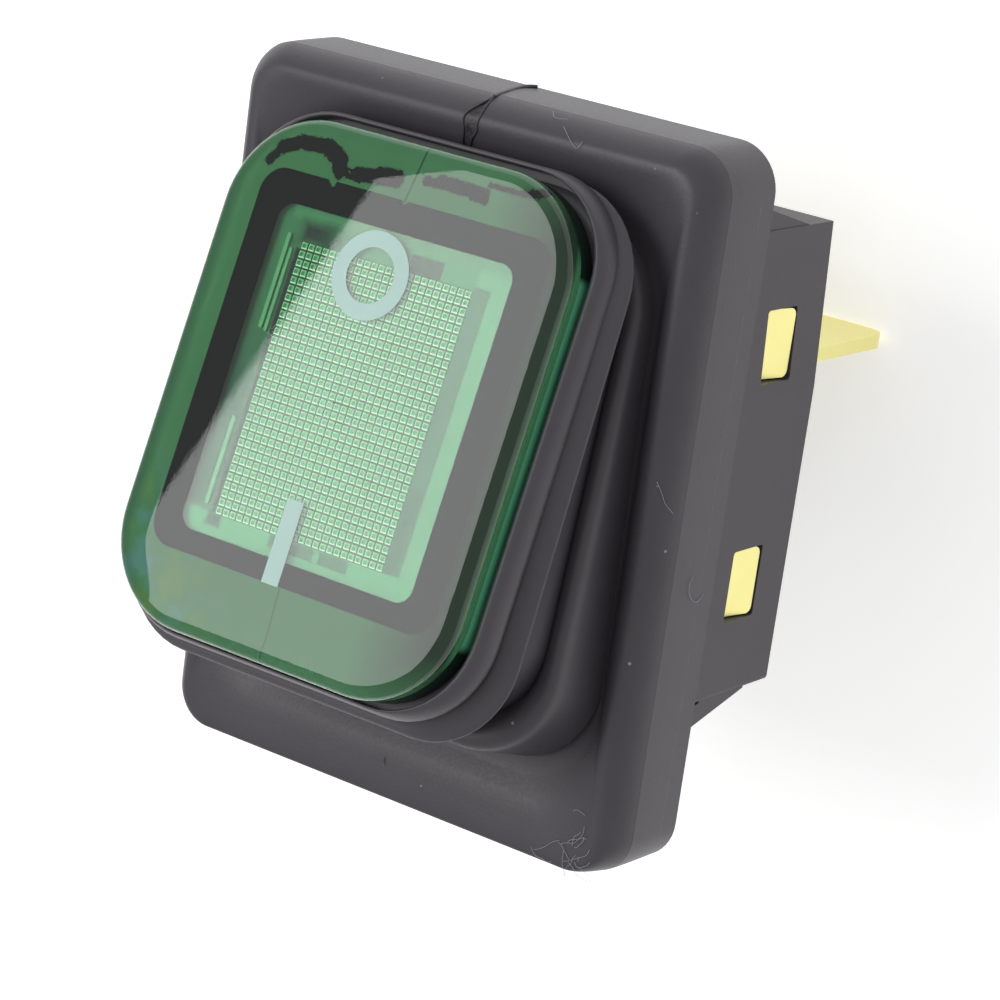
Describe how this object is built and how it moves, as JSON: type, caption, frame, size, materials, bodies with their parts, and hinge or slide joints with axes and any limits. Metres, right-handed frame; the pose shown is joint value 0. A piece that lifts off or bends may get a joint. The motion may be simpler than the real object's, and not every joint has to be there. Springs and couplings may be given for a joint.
{
  "type": "illuminated switch",
  "caption": "Splash-proof rocker switch: black rubber boot with folded bellows, clear green cap with O and I marks over a prismatic lens and lamp, snap-in housing, blade terminals.",
  "frame": {"origin": "centre of the panel cut-out, on the flange's back face that seats on the panel", "axes": "+Z out of the panel to the user, +Y along the rocker to its O end, +X across the rocker to the lamp terminals' side"},
  "size_m": [0.03, 0.0378, 0.0429],
  "materials": {
    "boot_rubber": "matte",
    "cap_clear_green": "gloss",
    "lens_green": "prismatic gloss",
    "housing_black": "matte",
    "base_black": "matte",
    "rocker_white": "satin",
    "terminal_brass": "satin",
    "contact_silver": "satin",
    "seesaw_copper": "satin",
    "plunger_white": "satin",
    "spring_steel": "bright",
    "lamp_glass": "clear",
    "electrode_metal": "satin",
    "resistor_ceramic": "satin",
    "lead_tinned": "bright"
  },
  "bodies": {
    "housing": {"switch_housing": "housing_black", "rubber_boot": "boot_rubber", "terminal_base": "base_black", "line_terminal": "terminal_brass", "load_terminal": "terminal_brass", "neutral_terminal": "terminal_brass", "lamp_link": "terminal_brass", "fixed_contact": "contact_silver", "lamp_spring_upper": "spring_steel", "lamp_spring_lower": "spring_steel"},
    "rocker": {"rocker_body": "rocker_white", "rocker_lens": "lens_green", "green_cap": "cap_clear_green", "neon_lamp": "lamp_glass", "lamp_electrodes": "electrode_metal", "lamp_resistor": "resistor_ceramic", "lamp_lead_upper": "lead_tinned", "lamp_lead_lower": "lead_tinned", "resistor_lead": "lead_tinned", "lamp_eyelet_upper": "terminal_brass", "lamp_eyelet_lower": "terminal_brass", "plunger_spring": "spring_steel"},
    "plunger": {"plunger": "plunger_white"},
    "seesaw": {"seesaw_contact": "seesaw_copper", "moving_contact": "contact_silver"}
  },
  "joints": [
    {"name": "rocker_hinge", "type": "hinge", "parent": "housing", "child": "rocker", "pos_m": [0, 0, 0.0011], "axis": [1, 0, 0], "range_deg": [0, 36], "deforming": ["rubber_boot", "lamp_spring_upper", "lamp_spring_lower"]},
    {"name": "seesaw_tip", "type": "hinge", "parent": "housing", "child": "seesaw", "pos_m": [-0.0048, 0, -0.01051], "axis": [1, 0, 0], "range_deg": [-14, 0]},
    {"name": "plunger_slide", "type": "slide", "parent": "rocker", "child": "plunger", "axis": [0, 0.309, 0.9511], "range_m": [0, 0.0008], "stiffness_N_per_m": 200, "springref_m": -0.001, "deforming": ["plunger_spring"]}
  ],
  "couplings": [
    {"joint": "seesaw_tip", "follows": "rocker_hinge", "ratio": -0.38889}
  ]
}
